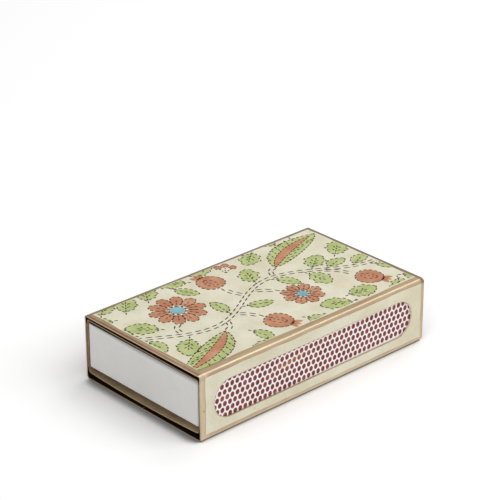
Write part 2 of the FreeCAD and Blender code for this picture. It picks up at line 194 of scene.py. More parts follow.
def add(tree, kind, settings=None, **sockets):
    """Adds a shader node, with its settings and its sockets by name."""
    made = tree.nodes.new("ShaderNode" + kind)
    for name, value in (settings or {}).items():
        setattr(made, name, value)
    for name, value in sockets.items():
        plug(value, made.inputs[name])
    return made


def calc(operation, *values):
    """One sum on one to three values, in the tree of those that are outputs."""
    trees = [value.id_data for value in values if isinstance(value, bpy.types.NodeSocket)]
    made = add(trees[0], "Math", {"operation": operation})
    for value, socket in zip(values, made.inputs):
        plug(value, socket)
    return made.outputs[0]


def minus(first, second):
    """A difference."""
    return calc("SUBTRACT", first, second)


def times(first, *others):
    """The product of several values."""
    for other in others:
        first = calc("MULTIPLY", first, other)
    return first


def most(first, *others):
    """The largest of several values."""
    for other in others:
        first = calc("MAXIMUM", first, other)
    return first


def ease(value, start, end, low=0.0, high=1.0):
    """Low up to start, high from end on, and smooth between."""
    made = add(value.id_data, "MapRange", {"interpolation_type": "SMOOTHSTEP"}, Value=value)
    for name, level in (("From Min", start), ("From Max", end), ("To Min", low), ("To Max", high)):
        plug(level, made.inputs[name])
    return made.outputs["Result"]


def tint(share, below, above):
    """Mixes two colours, each another node's output or three levels as they are seen."""
    # A Mix node has several sockets of each name, so they go by number
    made = add(share.id_data, "Mix", {"data_type": "RGBA"})
    plug(share, made.inputs[0])
    for colour, socket in ((below, made.inputs[6]), (above, made.inputs[7])):
        plug(seen(*colour) if isinstance(colour, tuple) else colour, socket)
    return made.outputs[2]


def mottled(value, deep, light, start=0.35, end=0.65):
    """A colour that goes from deep to light with a value."""
    return tint(ease(value, start, end), deep, light)


def specked(grain, share, colour, speck):
    """A colour with the specks of a paper grain on it."""
    return tint(times(grain["Specks"], share), colour, speck)


def cloud(vector, scale, detail, roughness=0.5, distortion=0.0):
    """Noise from 0 to 1."""
    return add(vector.id_data, "TexNoise", Vector=vector, Scale=scale, Detail=detail,
               Roughness=roughness, Distortion=distortion).outputs["Fac"]


def stretched(vector, scale):
    """Coordinates stretched along their axes."""
    return add(vector.id_data, "Mapping", Vector=vector, Scale=scale).outputs["Vector"]


def axes_of(vector):
    """The X, Y and Z of coordinates."""
    return add(vector.id_data, "SeparateXYZ", Vector=vector).outputs


def reach_of(first, second):
    """The length of a pair of values."""
    pair = add(first.id_data, "CombineXYZ", X=first, Y=second).outputs["Vector"]
    return add(first.id_data, "VectorMath", {"operation": "LENGTH"}, Vector=pair).outputs["Value"]


def new_finish(name):
    """A new material: gives it, its shader and its Object coordinates."""
    finish = bpy.data.materials.new(name)
    finish.use_nodes = True
    place = add(finish.node_tree, "TexCoord").outputs["Object"]
    return finish, finish.node_tree.nodes["Principled BSDF"], place


def dress(shader, colour, height, depth, rough, gloss=0.5):
    """Gives the shader its colour, a bump of a height and depth, its roughness and its gloss."""
    bump = add(shader.id_data, "Bump", Height=height, Distance=depth).outputs["Normal"]
    sockets = {"Base Color": colour, "Normal": bump, "Roughness": rough, "Specular IOR Level": gloss}
    for name, value in sockets.items():
        plug(value, shader.inputs[name])


def paint(finish, *nodes):
    """Puts a finish on nodes of the frame."""
    for node in nodes:
        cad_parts[node].material_slots[0].material = finish
    print("finish", finish.name, "on", len(nodes), "nodes")


def new_group(name, inputs, outputs):
    """An empty node group on coordinates and values: gives it, what comes in and what goes out."""
    group = bpy.data.node_groups.new(name, "ShaderNodeTree")
    group.interface.new_socket("Vector", in_out="INPUT", socket_type="NodeSocketVector")
    for in_out, sockets in (("INPUT", inputs), ("OUTPUT", outputs)):
        for socket in sockets:
            group.interface.new_socket(socket, in_out=in_out, socket_type="NodeSocketFloat")
    return group, group.nodes.new("NodeGroupInput").outputs, group.nodes.new("NodeGroupOutput").inputs


def give_out(leave, **values):
    """Plugs values into what goes out of a group."""
    for name, value in values.items():
        plug(value, leave[name])
    print("group", leave[0].id_data.name)


def use_group(group, vector, **values):
    """Places a group in a material, with its own values, and gives what comes out."""
    made = vector.id_data.nodes.new("ShaderNodeGroup")
    made.node_tree = group
    for name, value in {"Vector": vector, **values}.items():
        plug(value, made.inputs[name])
    return made.outputs


print("node helpers ready")

# %% [markdown]
# ## Three effects that several finishes share
# Paper, card and print all show fibres, slow blotches and a few specks. Metal and wood
# show streaks that run one way. Ink and striking paste miss the paper here and there.
# Each effect is a node group, built once and given other values in each finish.

# %% Paper grain
paper_grain, given, leave = new_group("paper_grain", ("Blotch", "Fibre", "Speck"),
                                      ("Tone", "Specks", "Height"))
blotch = cloud(given["Vector"], given["Blotch"], 4.0, 0.55)
fibre = cloud(given["Vector"], given["Fibre"], 3.0, 0.6, 1.2)
speck = add(paper_grain, "TexVoronoi", Vector=given["Vector"], Scale=given["Speck"]).outputs
is_near = ease(speck["Distance"], 0.09, 0.04)
chosen = add(paper_grain, "SeparateColor", Color=speck["Color"]).outputs["Red"]
specks = times(is_near, calc("GREATER_THAN", chosen, 0.72))
tone = calc("MULTIPLY_ADD", blotch, 0.6, times(fibre, 0.4))
give_out(leave, Tone=tone, Specks=specks, Height=fibre)

# %% Streaks
streaks, given, leave = new_group("streaks", ("Coarse", "Fine"), ("Tone", "Height"))
coarse = cloud(given["Vector"], given["Coarse"], 3.0)
fine = cloud(given["Vector"], given["Fine"], 5.0, 0.65)
give_out(leave, Tone=times(calc("ADD", coarse, fine), 0.5), Height=fine)

# %% Missed ink
missed_ink, given, leave = new_group("missed_ink", ("Patch", "Grain", "Amount"), ("Bare", "Tone"))
patch = cloud(given["Vector"], given["Patch"], 2.0)
grain = cloud(given["Vector"], given["Grain"], 3.0, 0.7)
bare = ease(times(patch, grain), 0.32, 0.44)
give_out(leave, Bare=times(bare, given["Amount"]), Tone=patch)

# %% [markdown]
# ## Gold sheet
# The folded metal has a soft tan-gold coat that was brushed on: along the long bends
# the strokes run lengthwise, and on the rims at the two mouths they run across. The top
# face is painted darker than the sides as shade, the crown of the top bends carries a
# painted highlight, and below it the metal is duller and painted darker as shade. The
# far edges and the cut edge of the base at the ends are painted darker as shade, the
# lowest bends and the band by the mouth are painted lighter as highlight, and the cut at
# the round ends of the windows carries a painted highlight. The front wall has one small
# nick. The inside is coloured near black. The node keeps its own mesh, so masks on its
# Object coordinates tell these places apart.

# %% Brush strokes on the gold
shell_low, shell_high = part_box("holder_shell")
RIM = 4.0 * MM
BRUSHED = 0.06
gold, shader, place = new_finish("gold_sheet")
axes = axes_of(place)
away_x = calc("ABSOLUTE", axes["X"])
away_y = calc("ABSOLUTE", axes["Y"])
from_end = minus(shell_high.x, away_x)
below_top = minus(shell_high.z, axes["Z"])
on_rim = ease(from_end, RIM, 0.7 * RIM)
drawn_long = stretched(place, (BRUSHED, 1, 1))
drawn_across = stretched(place, (1, BRUSHED, BRUSHED))
lengthwise = use_group(streaks, drawn_long, Coarse=500.0, Fine=2600.0)["Tone"]
crosswise = use_group(streaks, drawn_across, Coarse=600.0, Fine=2800.0)["Tone"]
stroke = calc("MULTIPLY_ADD", minus(crosswise, lengthwise), on_rim, lengthwise)
pale = ease(stroke, 0.40, 0.62)
coat = tint(pale, (192, 170, 138), (214, 195, 165))
print("strokes laid")

# %% Edges of the top: rubbed, a painted highlight, dull with painted shade, far shade
# A painted highlight colour, used low on the walls and by the mouth
PAINTED_GLEAM = (232, 214, 186)
# Painted highlight: the gold is painted lighter towards the base, where the bends face the floor
coat = tint(ease(axes["Z"], 2.2 * MM, 0.9 * MM, 0.0, 0.5), coat, PAINTED_GLEAM)
on_top = ease(below_top, 0.12 * MM, 0.02 * MM)
# Painted shade: the top face of the gold is darker than the sides
shaded_top_coat = tint(pale, (150, 126, 96), (172, 150, 118))
coat = tint(times(on_top, 0.8), coat, shaded_top_coat)
rubbed = times(on_top, ease(from_end, 1.5 * MM, 0.7 * MM), ease(stroke, 0.66, 0.42, 0.5, 1.0))
coat = tint(times(rubbed, 0.9), coat, (130, 88, 62))
pits = use_group(paper_grain, place, Blotch=70.0, Fibre=2200.0, Speck=380.0)
# Painted highlight: a pale, speckled line along the crown of the top bends
crown = times(ease(below_top, 0.40 * MM, 0.22 * MM), ease(below_top, 0.03 * MM, 0.10 * MM),
              ease(from_end, 0.02 * MM, 0.20 * MM))
painted_crown_highlight = times(crown, ease(pits["Height"], 0.38, 0.55, 0.05, 0.35))
coat = tint(painted_crown_highlight, coat, (240, 230, 212))
# Below the crown the metal is duller, and it is painted darker as shade
dull_shaded_band = times(ease(below_top, 2.4 * MM, 1.6 * MM), ease(below_top, 0.20 * MM, 0.42 * MM))
coat = tint(dull_shaded_band, coat, tint(pale, (168, 145, 113), (186, 163, 130)))
# Painted shade: the far edges of the top are darker and not metallic
far_edge_shade = most(ease(minus(shell_high.y, axes["Y"]), 2.6 * MM, 1.6 * MM),
           ease(minus(shell_high.x, axes["X"]), 2.0 * MM, 1.2 * MM))
far_edge_shade = times(far_edge_shade, ease(below_top, 2.0 * MM, 1.0 * MM))
coat = tint(times(far_edge_shade, 0.9), coat, (118, 99, 76))
print("top edges worn")

# %% Mouth, nick and the cut round the windows
NICK = (-56.0 * MM, shell_low.y, 12.4 * MM)
WINDOW_RISE = (shell_high.z - shell_low.z) / 2 - 5.7 * MM
ROUND_FROM = shell_high.x - 6.6 * MM - WINDOW_RISE
# Painted highlight: the gold is painted lighter by the mouth end, except on top
at_mouth = ease(minus(axes["X"], shell_low.x), 4.5 * MM, 3.0 * MM, 0.0, 0.3)
coat = tint(times(at_mouth, minus(1.0, on_top)), coat, PAINTED_GLEAM)
# Painted shade: the cut edge of the base at both ends is darker
on_base_lip = times(ease(from_end, 0.06 * MM, 0.02 * MM), ease(axes["Z"], 2.0 * MM, 1.0 * MM))
coat = tint(times(on_base_lip, 0.7), coat, (140, 116, 86))
from_nick = add(place.id_data, "VectorMath", {"operation": "DISTANCE"}, Vector=place)
from_nick.inputs[1].default_value = NICK
nicked = ease(from_nick.outputs["Value"], 0.70 * MM, 0.15 * MM, 0.0, 0.60)
coat = tint(nicked, coat, (142, 104, 70))
coat = specked(pits, 0.6, coat, (120, 92, 66))
# Painted highlight: the cut at the round ends of the windows is bright
past_round = most(minus(away_x, ROUND_FROM), 0.0)
from_middle = minus(axes["Z"], 0.5 * (shell_low.z + shell_high.z))
lit_cut = calc("COMPARE", reach_of(past_round, from_middle), WINDOW_RISE, 0.03 * MM)
lit_cut = times(lit_cut, ease(past_round, 1.5 * MM, 6.0 * MM))
coat = tint(lit_cut, coat, (250, 238, 212))
print("cut edges brightened")

# %% Dark inside, and the sheen of the metal
SHEET = 0.6 * MM
SKIN = 0.93 * SHEET
inside = times(calc("LESS_THAN", away_y, shell_high.y - SKIN),
               calc("GREATER_THAN", axes["Z"], shell_low.z + SKIN),
               calc("LESS_THAN", axes["Z"], shell_high.z - SKIN))
# The inside is coloured near black
near_black_inside = tint(pits["Tone"], (26, 22, 19), (46, 39, 33))
bright = minus(1.0, most(inside, lit_cut, far_edge_shade, dull_shaded_band))
plug(times(bright, ease(crown, 0.0, 1.0, 0.6, 0.3)), shader.inputs["Metallic"])
shader.inputs["Specular Tint"].default_value = (0.55, 0.5, 0.42, 1)
dress(shader, tint(inside, coat, near_black_inside), stroke, depth=0.04 * MM,
      rough=ease(stroke, 0.35, 0.65, 0.46, 0.36))
paint(gold, "holder_shell")

# %% [markdown]
# ## Paper
# Thick cream paper covers the four faces, cut with scissors and glued on, so that a
# band of gold shows all round. A cut sheet could be a plain rectangle, but its edges
# give it away: here each edge is divided and moved in and out by a slow noise, and the
# outline is filled and given its thickness. The two side sheets have the long round
# hole for the window. The metal under them holds the sheets to their place.

# %% Paper finish
paper, shader, place = new_finish("cream_paper")
grain = use_group(paper_grain, place, Blotch=75.0, Fibre=1500.0, Speck=260.0)
cream = mottled(grain["Tone"], (213, 206, 179), (229, 225, 204), 0.34, 0.66)
warm = ease(cloud(place, 28.0, 3.0), 0.52, 0.78, 0.0, 0.45)
cream = tint(warm, cream, (214, 201, 166))
cream = specked(grain, 0.55, cream, (150, 132, 100))
dress(shader, cream, grain["Height"], depth=0.06 * MM, rough=0.72, gloss=0.3)
print("finish", paper.name)

# %% The hand of the cutter
EDGE_CUTS = 59
CUT_WAVE = 11.0 * MM
CUT_WOBBLE = 0.35 * MM
HOLE_WOBBLE = 0.16 * MM
HOLE_CORNERS = 72


def wander(reach, seed, depth):
    """How far the scissors strayed at this point of an edge."""
    slow = noise.noise(Vector((reach / CUT_WAVE, seed, 0.5)))
    quick = noise.noise(Vector((reach / CUT_WAVE * 3.1, seed, 7.5)))
    return depth * (slow + 0.3 * quick)


def lie(node, along, upward):
    """A node's own plane, facing outwards, and its reach along, up and out."""
    low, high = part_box(node)
    outward = along.cross(upward)
    reach = [sorted((low.dot(axis), high.dot(axis))) for axis in (along, upward, outward)]
    plane = Matrix((along, upward, outward)).transposed().to_4x4()
    plane.translation = outward * reach[2][0]
    return plane, reach


X, Y, Z = Vector((1, 0, 0)), Vector((0, 1, 0)), Vector((0, 0, 1))
FACES = {"top": (X, Y), "base": (X, -Y), "front": (X, Z), "back": (-X, Z)}
TAPERS = {"top": 0.6 * MM, "base": 0.2 * MM, "front": 0.25 * MM, "back": 0.2 * MM}
TRIMS = {"top": 0.2 * MM, "base": 0.2 * MM, "front": -0.25 * MM, "back": -0.25 * MM}
END_TRIM = 0.2 * MM
print("faces", list(FACES))


# %% Cut a sheet
def outline_sheet(name, reach, seed, taper, trim):
    """The edges of a rectangle, divided and strayed from, the lower one out of square by a taper."""
    (left, end), (bottom, top) = reach[0], reach[1]
    end, top = end - END_TRIM, top - trim
    clear_bench()
    bpy.ops.mesh.primitive_plane_add(size=1, location=((left + end) / 2, (bottom + top) / 2, 0))
    sheet = bpy.context.object
    sheet.name = name
    sheet.scale = (end - left, top - bottom, 1)
    bpy.ops.object.transform_apply()
    edit_all()
    bpy.ops.mesh.delete(type="ONLY_FACE")
    bpy.ops.mesh.select_all(action="SELECT")
    bpy.ops.mesh.subdivide(number_cuts=EDGE_CUTS)
    bpy.ops.object.mode_set(mode="OBJECT")
    near = 0.001 * MM
    for vertex in sheet.data.vertices:
        at = vertex.co.copy()
        for edge, level in enumerate((left, end)):
            if abs(at.x - level) < near:
                vertex.co.x += wander(at.y, seed + edge, CUT_WOBBLE)
        for edge, level in enumerate((bottom, top)):
            if abs(at.y - level) < near:
                vertex.co.y += wander(at.x, seed + 2 + edge, CUT_WOBBLE)
                vertex.co.y -= (1 - edge) * taper * at.x / end
    return sheet


def add_hole(sheet, middle, half_length, half_height, seed):
    """A round-ended loop inside the sheet's outline."""
    bpy.ops.object.mode_set(mode="EDIT")
    bpy.ops.mesh.select_all(action="DESELECT")
    half_step = pi / HOLE_CORNERS
    bpy.ops.mesh.primitive_circle_add(vertices=HOLE_CORNERS, radius=half_height, fill_type="NOTHING",
                                      location=(*middle, 0), rotation=(0, 0, half_step))
    bpy.ops.object.mode_set(mode="OBJECT")
    for vertex in [v for v in sheet.data.vertices if v.select]:
        x, y = vertex.co.x - middle.x, vertex.co.y - middle.y
        stray = 1 + wander(atan2(y, x) * CUT_WAVE, seed, HOLE_WOBBLE) / half_height
        vertex.co.x = middle.x + x * stray + copysign(half_length - half_height, x)
        vertex.co.y = middle.y + y * stray


def fill_sheet(sheet, thickness):
    """Fills the outline, turns it to face up and gives it its thickness."""
    pick(sheet)
    edit_all()
    bpy.ops.mesh.fill(use_beauty=True)
    bpy.ops.object.mode_set(mode="OBJECT")
    if sum(face.normal.z * face.area for face in sheet.data.polygons) < 0:
        edit_all()
        bpy.ops.mesh.flip_normals()
    finish_with(sheet, "SOLIDIFY", thickness=thickness, offset=1.0)


print("cutting ready")

# %% Lay the four sheets
WINDOW_MARGIN = (6.4 * MM, 5.4 * MM)
HOLE_SHIFT = Vector((-0.2, 0.1)) * MM
window_half = Vector((shell_high.x - WINDOW_MARGIN[0],
                      (shell_high.z - shell_low.z) / 2 - WINDOW_MARGIN[1]))
window_middle = Vector((0.0, (shell_low.z + shell_high.z) / 2))
for seed, (side, (along, upward)) in enumerate(FACES.items()):
    node = side + "_panel"
    plane, reach = lie(node, along, upward)
    sheet = outline_sheet(side + "_paper", reach, 10.0 * seed, TAPERS[side], TRIMS[side])
    if side in ("front", "back"):
        add_hole(sheet, window_middle + HOLE_SHIFT, *window_half, 10.0 * seed + 5)
    fill_sheet(sheet, reach[2][1] - reach[2][0])
    settle(sheet, plane)
    sheet.data.materials.append(paper)
    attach(sheet, "holder")
    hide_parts(node)
    print(sheet.name, len(sheet.data.polygons), "faces")

# %% [markdown]
# ## Ink
# The top sheet carries a folk block print: flat green, terracotta and a little blue,
# each laid on by its own block, with dark broken lines over them that never quite meet
# the colour. Each ink is a film of its own height, so that the layers never share a
# plane. Where the block was short of ink, the cream shows through.

# %% Ink finishes
INKS = {
    "green": ((170, 182, 112), (186, 196, 132)),
    "terracotta": ((182, 120, 86), (196, 138, 104)),
    "blue": ((104, 160, 178), (128, 178, 192)),
    "line": ((42, 33, 29), (62, 50, 43)),
}
FILMS = {"green": 0.020 * MM, "terracotta": 0.030 * MM, "blue": 0.040 * MM, "line": 0.050 * MM}
ink_finishes = {}
for ink, (deep, light) in INKS.items():
    finish, shader, place = new_finish("ink_" + ink)
    missed = use_group(missed_ink, place, Patch=190.0, Grain=2400.0, Amount=0.4)
    grain = use_group(paper_grain, place, Blotch=120.0, Fibre=1500.0, Speck=260.0)
    colour = mottled(missed["Tone"], deep, light)
    colour = tint(missed["Bare"], colour, (214, 207, 180))
    dress(shader, colour, grain["Height"], depth=0.05 * MM, rough=0.66, gloss=0.3)
    ink_finishes[ink] = finish
print("inks", list(ink_finishes))

# %% [markdown]
# ## The printing blocks
# A block printer carves a leaf once and stamps it many times. In the same way each
# motif is modelled once: a filled disc whose rim is drawn out to the outline, and one
# short dash that is copied along it as the broken line. A stamp is then a copy of the
# block, moved and turned.

# %% Carving tools
# How far a colour is printed off its line, in millimetres
SLIP = (0.25, -0.2)
SMALL_SLIP = (0.2, -0.15)


def drawn_round(rule, corners):
    """A filled disc with its rim drawn out to rule(angle), in millimetres."""
    clear_bench()
    bpy.ops.mesh.primitive_circle_add(vertices=corners, radius=1.0, fill_type="NGON")
    shape = bpy.context.object
    for vertex in shape.data.vertices:
        x, y = rule(atan2(vertex.co.y, vertex.co.x))
        vertex.co = (x * MM, y * MM, 0)
    return shape


def oval_rule(wide, tall, waves=0, swell=0.0):
    """The outline of an oval, with waves if asked."""
    def rule(angle):
        out = 1 + swell * cos(waves * angle)
        return wide * cos(angle) * out, tall * sin(angle) * out
    return rule


def rim_of(rule, count=72):
    """Points round the same outline, back to the first."""
    return [rule(tau * step / count) for step in range(count + 1)]


def copy_of(piece, move):
    """A copy with its own mesh, moved."""
    copied = piece.copy()
    copied.data = piece.data.copy()
    copied.data.transform(move)
    bpy.context.scene.collection.objects.link(copied)
    return copied


def flat_move(x, y, turned, long=1.0, wide=1.0):
    """A move in the sheet's plane, in millimetres and radians."""
    move = Matrix.Translation((x * MM, y * MM, 0)) @ Matrix.Rotation(turned, 4, "Z")
    return move @ Matrix.Diagonal((long, wide, 1, 1))


def broken_line(paths, long=1.7, gap=0.5, wide=0.56):
    """Dashes along each path: a six-cornered dash is made once and copied."""
    dash = drawn_round(oval_rule(0.5, 0.5), 6)
    dashes = []
    for path in paths:
        gone, due = 0.0, 0.5 * long
        for (x0, y0), (x1, y1) in zip(path, path[1:]):
            run, rise = x1 - x0, y1 - y0
            step = hypot(run, rise)
            while step > 0 and gone + step >= due:
                share = (due - gone) / step
                x, y = x0 + share * run, y0 + share * rise
                dashes.append(copy_of(dash, flat_move(x, y, atan2(rise, run), long, wide)))
                due += long + gap
            gone += step
    bpy.data.objects.remove(dash)
    return join_up(dashes, "dashes")


def line_to(x0, y0, x1, y1, bow=0.0, count=14):
    """A path from one point to another, bowed to its left."""
    run, rise = x1 - x0, y1 - y0
    long = hypot(run, rise)
    points = []
    for step in range(count + 1):
        share = step / count
        lift = 4 * bow * share * (1 - share)
        points.append((x0 + share * run - lift * rise / long, y0 + share * rise + lift * run / long))
    return points


print("carving tools ready")


# %% Leaf, plume and berry blocks
def leaf_rule(long, half, bend, teeth=0, bite=0.0):
    """The outline of a pointed leaf that starts at its stalk."""
    def rule(angle):
        x = long * (1 + cos(angle)) / 2
        rise = sin(angle) * abs(sin(angle)) ** 0.55
        notch = 1 + bite * cos(teeth * angle)
        return x, half * rise * notch + bend * (x / long) ** 2
    return rule


def leaf_block(long, half, bend, teeth=0, bite=0.0, veins=0):
    """A leaf with its broken outline, its midrib and its side veins."""
    rule = leaf_rule(long, half, bend, teeth, bite)
    paths = [rim_of(rule), line_to(-2.2, -0.5, 0.72 * long, 0.5 * bend)]
    for vein in range(veins):
        x = long * (0.28 + 0.2 * vein)
        y = bend * (x / long) ** 2
        for side in (-1, 1):
            paths.append(line_to(x, y + side * 0.5, x + 0.16 * long, y + side * 0.55 * half))
    fill = drawn_round(rule, 44)
    fill.data.transform(flat_move(*SLIP, 0.0))
    return {"green": fill, "line": broken_line(paths)}


def plume_block(long, half, bend):
    """A long curled leaf with a coloured rib and slanting barbs."""
    blade = leaf_rule(long, half, bend)
    rib = leaf_rule(0.92 * long, 0.34 * half, 0.85 * bend)
    paths = [rim_of(blade, 120), rim_of(rib, 120)]
    for barb in range(7):
        x = long * (0.16 + 0.1 * barb)
        y = bend * (x / long) ** 2
        for side in (-1, 1):
            paths.append(line_to(x, y + side * 0.42 * half, x + 0.08 * long, y + side * 0.8 * half))
    return {"green": drawn_round(blade, 64), "terracotta": drawn_round(rib, 48),
            "line": broken_line(paths)}


def berry_block():
    """Three berries on a forked stalk."""
    rule = oval_rule(1.6, 1.5)
    one = drawn_round(rule, 20)
    tips = [(5.0, 2.7), (6.6, -0.3), (4.6, -3.1)]
    berries = [copy_of(one, flat_move(x + SMALL_SLIP[0], y + SMALL_SLIP[1], 0.0)) for x, y in tips]
    bpy.data.objects.remove(one)
    paths = [line_to(0, 0, 0.72 * x, 0.72 * y, bow=0.2) for x, y in tips]
    round_one = [rule(0.5 * step) for step in range(14)]
    paths += [[(x + a, y + b) for a, b in round_one] for x, y in tips]
    return {"terracotta": join_up(berries, "berries"), "line": broken_line(paths, long=1.2, wide=0.42)}


PLUME_LONG = 33.0
PLUME_BEND = -11.0
blocks = {
    "willow": leaf_block(10.5, 2.7, 1.5),
    "willow_back": leaf_block(9.8, 2.8, -1.6),
    "broad": leaf_block(12.5, 4.2, 0.9, teeth=11, bite=0.12, veins=2),
    "broad_back": leaf_block(11.4, 3.9, -1.1, teeth=9, bite=0.14, veins=2),
    "plume": plume_block(PLUME_LONG, 6.0, PLUME_BEND),
    "berries": berry_block(),
}
print("blocks", list(blocks))


# %% Daisy and pomegranate blocks
def daisy_block(reach, petals):
    """A ring of round petals about a blue eye."""
    start = 0.30 * reach
    half = 0.92 * reach * sin(pi / petals)

    def petal_rule(angle):
        out = (1 + cos(angle)) / 2
        return start + (reach - start) * out, half * sin(angle) * (0.5 + 0.42 * out)

    one = drawn_round(petal_rule, 26)
    turns = [tau * step / petals for step in range(petals)]
    fills = [copy_of(one, flat_move(*SMALL_SLIP, angle)) for angle in turns]
    bpy.data.objects.remove(one)
    lines = broken_line([rim_of(petal_rule, 40), line_to(1.3 * start, 0, 0.8 * reach, 0)])
    outlines = [copy_of(lines, flat_move(0, 0, angle)) for angle in turns]
    bpy.data.objects.remove(lines)
    eye = drawn_round(oval_rule(0.25 * reach, 0.25 * reach, waves=6, swell=0.06), 36)
    ring = rim_of(oval_rule(0.27 * reach, 0.27 * reach))
    outlines.append(broken_line([ring], long=1.0, wide=0.42))
    return {"terracotta": join_up(fills, "petals"), "blue": eye,
            "line": join_up(outlines, "daisy_lines")}


def pomegranate_block(reach):
    """A ripe fruit with a crown, split to show its seeds."""
    def skin(angle):
        swell = reach * (1 + 0.07 * cos(angle) + 0.03 * cos(3 * angle))
        return swell * cos(angle), swell * sin(angle)

    def split(angle):
        x, y = leaf_rule(1.25 * reach, 0.36 * reach, 0.0)(angle)
        return x - 0.6 * reach, y + 0.05 * reach

    spike = drawn_round(leaf_rule(0.72 * reach, 0.17 * reach, 0.0), 20)
    crown = [copy_of(spike, flat_move(0.95 * reach, 0.16 * reach * side, 0.42 * side))
             for side in (-1, 0, 1)]
    bpy.data.objects.remove(spike)
    body = drawn_round(skin, 40)
    body.data.transform(flat_move(*SLIP, 0.0))
    middles = [0.30 * reach * step for step in (-1, 0, 1)]
    seeds = [line_to(x - 0.05 * reach, 0.05 * reach, x + 0.05 * reach, 0.1 * reach) for x in middles]
    paths = [rim_of(skin), rim_of(split)]
    lines = [broken_line(paths), broken_line(seeds, long=0.9, wide=0.6)]
    return {"terracotta": join_up([body, *crown], "fruit"), "green": drawn_round(split, 30),
            "line": join_up(lines, "fruit_lines")}


blocks["daisy"] = daisy_block(11.2, 10)
blocks["small_daisy"] = daisy_block(8.4, 8)
blocks["pomegranate"] = pomegranate_block(5.6)
print("blocks", len(blocks))

# %% [markdown]
# ## Laying out the print
# A vine of two broken lines wanders from end to end of the sheet. Daisies and
# pomegranates hang in its bends, two long plumes grow from it, and leaves and berries
# fill what is left. The flowers' places are listed one by one. The leaves are tried at
# many places from a seeded list of random numbers, and stamped only where they have
# room, as a printer fills a ground.

# %% The vine and its fruit
VINE_SWING = 8.0
VINE_WAVE = 84.0
VINE_SHIFT = 8.0
STALK_HALF = 0.85
STALK_START = 2.0
STALK_BOW = 1.2
STALK_ROOM = 1.3
SEED = 11
draw = random.Random(SEED)
stamped = {ink: [] for ink in INKS}
taken = []


def vine_at(x):
    """The vine's middle line, and its heading there."""
    phase = tau * (x + VINE_SHIFT) / VINE_WAVE
    return VINE_SWING * sin(phase), atan(VINE_SWING * cos(phase) * tau / VINE_WAVE)


def ahead(x, y, turned, reach):
    """The point a reach ahead on a heading."""
    return x + reach * cos(turned), y + reach * sin(turned)


def beside(path, offset):
    """A path moved to its left."""
    moved = []
    for (x0, y0), (x1, y1) in zip(path, path[1:]):
        step = dist((x0, y0), (x1, y1))
        moved.append((x0 - offset * (y1 - y0) / step, y0 + offset * (x1 - x0) / step))
    return moved


def stamp(block, x, y, turned):
    """Prints one block on the sheet."""
    for ink, carved in blocks[block].items():
        stamped[ink].append(copy_of(carved, flat_move(x, y, turned)))


# The circles that some blocks cover: along, across and radius
SPOTS = {
    "berries": [(1.5, 0, 1.2), (5.0, 0, 4.2)],
    "broad": [(0, 0, 0.9), (4, 0, 4.2), (8, 0, 3.8), (11.5, 0, 1.6)],
    "willow": [(0, 0, 0.8), (3.3, 0, 2.8), (6.6, 0, 2.7), (9.8, 0, 1.4)],
    "plume": [(a, PLUME_BEND * (a / PLUME_LONG) ** 2, 5.4) for a in range(2, 34, 3)],
}


def covered(block, x, y, turned):
    """The circles that a block covers once it is stamped."""
    return [(x + a * cos(turned) - b * sin(turned), y + a * sin(turned) + b * cos(turned), room)
            for a, b, room in SPOTS[block.split("_")[0]]]


vine = [(half / 2, vine_at(half / 2)[0]) for half in range(-120, 122)]
# Block, its x and y, where its stalk leaves the vine, and its reach and room
FLOWERS = [
    ("daisy", -30.0, 11.5, -42.0, 11.0, 11.8),
    ("small_daisy", 14.0, -10.0, 1.0, 8.2, 9.0),
    ("pomegranate", 43.0, -16.5, 33.0, 5.4, 7.8),
    ("pomegranate", -5.5, 20.0, -3.0, 5.4, 7.8),
    ("pomegranate", -8.0, -19.5, -16.0, 5.4, 7.8),
    ("plume", 22.0, 13.5, 15.0, 0.0, 1.0),
    ("plume", -28.0, -13.0, -21.0, 0.0, 1.0),
]
stalks = [vine]
for block, x, y, root, reach, room in FLOWERS:
    start = (root, vine_at(root)[0])
    turned = atan2(y - start[1], x - start[0])
    stamp(block, x, y, turned)
    taken.append((x, y, room))
    off_vine = ahead(*start, turned, STALK_START)
    stalks.append(line_to(*off_vine, *ahead(x, y, turned, -reach), bow=STALK_BOW))
    if block in SPOTS:
        taken += covered(block, x, y, turned)
pair = [beside(path, offset) for path in stalks for offset in (-STALK_HALF, STALK_HALF)]
stamped["line"].append(broken_line(pair, long=2.8, gap=0.9))
for path in stalks:
    taken += [(x, y, STALK_ROOM) for x, y in path[::2]]
print("flowers", len(FLOWERS), "stalks", len(stalks))

# %% Leaves and berries in the gaps
VINE_LEAVES = 46
FIRST_LEAF = -54
LEAF_STEP = 2.4
LEAF_OFF = STALK_HALF + 2.2
LEAF_TURN = (0.75, 1.15)
TRIES = {"broad": 300, "broad_back": 300, "berries": 200, "willow": 500, "willow_back": 300}


def has_room(circles):
    """Whether none of these circles touches what is already there."""
    return all(dist((x, y), (u, v)) > room + other
               for x, y, room in circles for u, v, other in taken)


def try_stamp(block, x, y, turned):
    """Stamps a block if it has room."""
    circles = covered(block, x, y, turned)
    if not has_room(circles):
        return 0
    stamp(block, x, y, turned)
    taken.extend(circles)
    return 1


sheet_reach = lie("top_panel", *FACES["top"])[1]
half_x, half_y = sheet_reach[0][1] / MM, sheet_reach[1][1] / MM
on_vine = 0
for step in range(VINE_LEAVES):
    root = FIRST_LEAF + LEAF_STEP * step
    level, heading = vine_at(root)
    side = 1 if step % 2 else -1
    turned = heading + side * draw.uniform(*LEAF_TURN)
    block = draw.choice(("broad", "broad_back", "willow", "willow_back"))
    on_vine += try_stamp(block, *ahead(root, level, turned, LEAF_OFF), turned)
in_gaps = 0
for block, tries in TRIES.items():
    for _ in range(tries):
        x = draw.uniform(-half_x, half_x)
        y = draw.uniform(-half_y, half_y)
        in_gaps += try_stamp(block, x, y, draw.uniform(0, tau))
print("leaves on the vine", on_vine, "motifs in the gaps", in_gaps)

